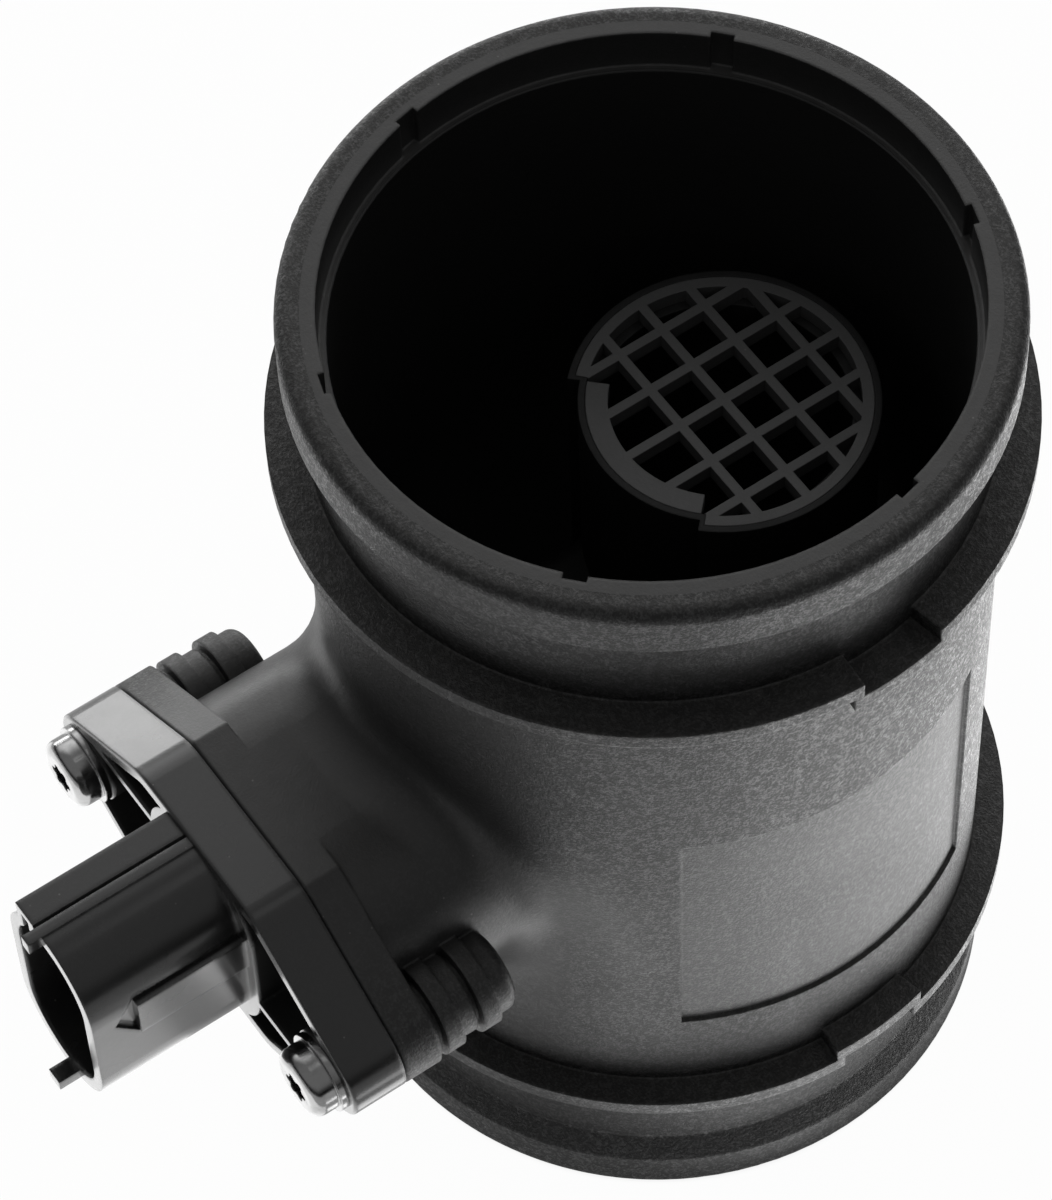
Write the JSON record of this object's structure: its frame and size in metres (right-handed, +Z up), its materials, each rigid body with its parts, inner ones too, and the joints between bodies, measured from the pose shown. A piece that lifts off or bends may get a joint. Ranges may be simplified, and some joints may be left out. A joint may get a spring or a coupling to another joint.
{
  "type": "mass airflow sensor",
  "caption": "Intake air tube with beaded hose ends, an inner measuring duct with a grille, and a side port carrying a bolted plug-in sensor module with a shrouded connector.",
  "frame": {"origin": "centre of the lower rim of the tube, on the tube's axis", "axes": "+Z up along the tube's axis from the lower rim to the upper mouth, -Y outward along the port of the plug-in module, +X to the right seen from the port"},
  "size_m": [0.0844, 0.1269, 0.129],
  "materials": {
    "housing_plastic": "black glass-filled nylon, fine moulded grain",
    "duct_plastic": "smooth black moulding",
    "grille_plastic": "smooth black moulding",
    "module_plastic": "semi-gloss black moulding",
    "seal_rubber": "soft black rubber",
    "contact_metal": "plated contact metal",
    "base_aluminium": "plain sheet",
    "board_laminate": "green board",
    "chip_plastic": "black moulded package",
    "capacitor_body": "fired tan body",
    "clear_gel": "soft clear gel",
    "carrier_plastic": "dark grey moulding",
    "film_glass": "thin coated film",
    "screw_chrome": "bright plated steel"
  },
  "bodies": {
    "root": {"tube_housing": "housing_plastic", "measuring_duct": "duct_plastic", "inlet_grille": "grille_plastic", "module_body": "module_plastic", "port_seal": "seal_rubber", "contact_pin_1": "contact_metal", "contact_pin_2": "contact_metal", "contact_pin_3": "contact_metal", "contact_pin_4": "contact_metal", "contact_pin_5": "contact_metal", "base_plate": "base_aluminium", "circuit_board": "board_laminate", "bond_strips": "contact_metal", "control_chip": "chip_plastic", "board_capacitors": "capacitor_body", "cavity_gel": "clear_gel", "electronics_cover": "duct_plastic", "sensor_carrier": "carrier_plastic", "sensor_film": "film_glass", "thermistor_leads": "contact_metal", "air_thermistor": "chip_plastic", "mounting_screws": "screw_chrome"}
  },
  "joints": []
}
